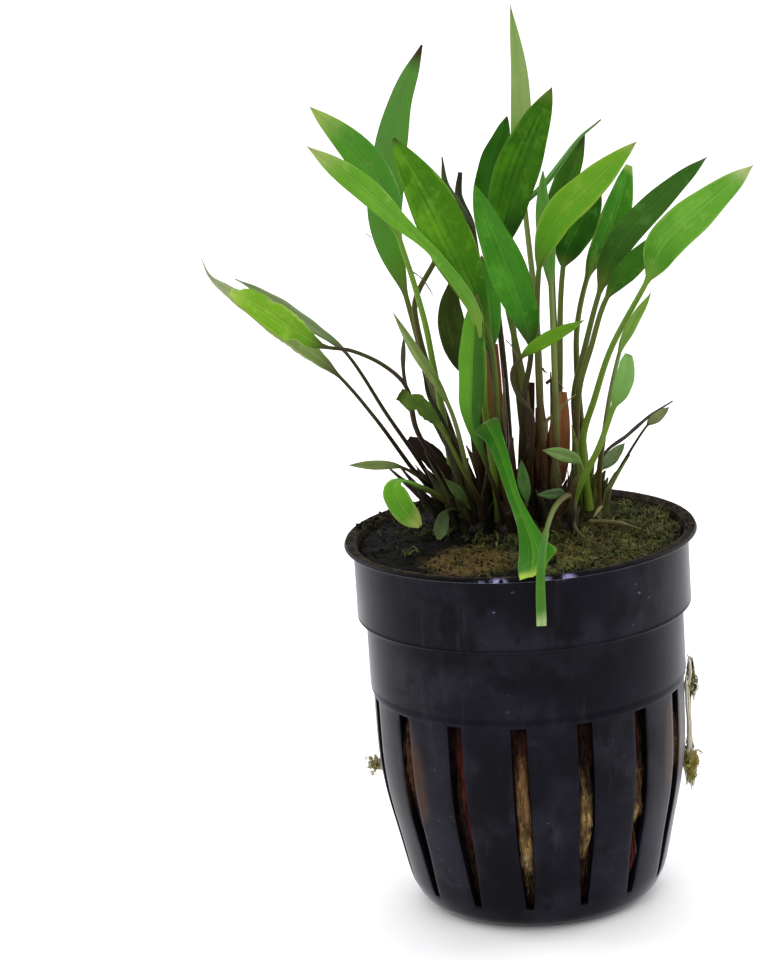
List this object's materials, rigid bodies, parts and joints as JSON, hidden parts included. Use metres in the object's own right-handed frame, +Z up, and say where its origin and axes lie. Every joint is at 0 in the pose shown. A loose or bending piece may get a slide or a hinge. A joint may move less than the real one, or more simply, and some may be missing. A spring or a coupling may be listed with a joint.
{
  "type": "potted aquarium plant",
  "caption": "Young aquarium plant with lance-shaped leaves on thin stalks, growing in wool and soil in a black slotted pot, some leaves torn, withered or bent over the rim.",
  "frame": {"origin": "middle of the pot's underside, on the surface that the pot stands on", "axes": "+Z up along the pot's axis, -Y towards the side that the plant shows, with the leaf that hangs over the rim, +X to the right of that side"},
  "size_m": [0.0838, 0.0584, 0.1375],
  "materials": {
    "pot_plastic": "satin black, smudged, with pale scratches on the lip",
    "wool_and_moss": "damp brown wool and soil with moss on top",
    "crown_brown": "fibrous, dark brown",
    "leaf_green": "smooth leaf with a soft sheen",
    "leaf_bright": "smooth yellow-green leaf, let through by light",
    "leaf_dark": "dark green leaf with brown edges",
    "leaf_dull": "dull grey-green young leaf",
    "leaf_withered": "thin withered leaf, greyish and partly see-through",
    "leaf_dead": "dead leaf, black-brown and wrinkled",
    "stalk_green": "smooth stalk with fine ridges",
    "sheath_brown": "papery red-brown sheath with fine fibres"
  },
  "bodies": {
    "root": {"pot": "pot_plastic", "growing_wool": "wool_and_moss", "crown_1": "crown_brown", "crown_2": "crown_brown", "crown_3": "crown_brown", "crown_4": "crown_brown", "crown_5": "crown_brown", "crown_6": "crown_brown", "crown_7": "crown_brown", "leaf_far_left_torn": "leaf_bright", "leaf_far_left_withered": "leaf_withered", "leaf_far_left_edge": "leaf_dull", "leaf_left_broad": "leaf_green", "leaf_left_front": "leaf_bright", "leaf_left_tall": "leaf_green", "leaf_left_narrow": "leaf_dull", "leaf_left_hidden": "leaf_dark", "leaf_left_dark": "leaf_dark", "leaf_middle_broad": "leaf_green", "leaf_middle_front": "leaf_green", "leaf_middle_tall": "leaf_green", "leaf_middle_dark": "leaf_dark", "leaf_top": "leaf_dull", "leaf_middle_low": "leaf_bright", "leaf_middle_upright": "leaf_green", "leaf_dark_edge": "leaf_dark", "leaf_dark_stub": "leaf_dead", "leaf_brown": "leaf_dark", "leaf_thin_edge": "leaf_dull", "leaf_right_dark": "leaf_dark", "leaf_right_bright": "leaf_bright", "leaf_right_back": "leaf_green", "leaf_right_shaded": "leaf_green", "leaf_right_small": "leaf_bright", "leaf_right_long": "leaf_green", "leaf_far_right": "leaf_bright", "leaf_right_under": "leaf_green", "leaf_right_narrow": "leaf_bright", "leaf_right_pale": "leaf_dull", "leaf_low_right_dark": "leaf_dead", "leaf_low_right_thin": "leaf_withered", "leaf_low_right_pale": "leaf_dull", "leaf_bright_across": "leaf_bright", "leaf_small_pale": "leaf_dull", "leaf_small_upright": "leaf_dull", "leaf_small_across": "leaf_dull", "leaf_low_left_curled": "leaf_bright", "leaf_low_left_across": "leaf_withered", "leaf_low_left_torn": "leaf_green", "leaf_low_left_soil": "leaf_dull", "leaf_low_left_dead": "leaf_dead", "leaf_low_left_dull": "leaf_dull", "leaf_bent_over_rim": "leaf_bright", "stalk_over_rim": "stalk_green", "stalk_left": "stalk_green", "sheath_red": "sheath_brown", "sheath_brown": "sheath_brown", "sheath_dark": "sheath_brown"}
  },
  "joints": []
}
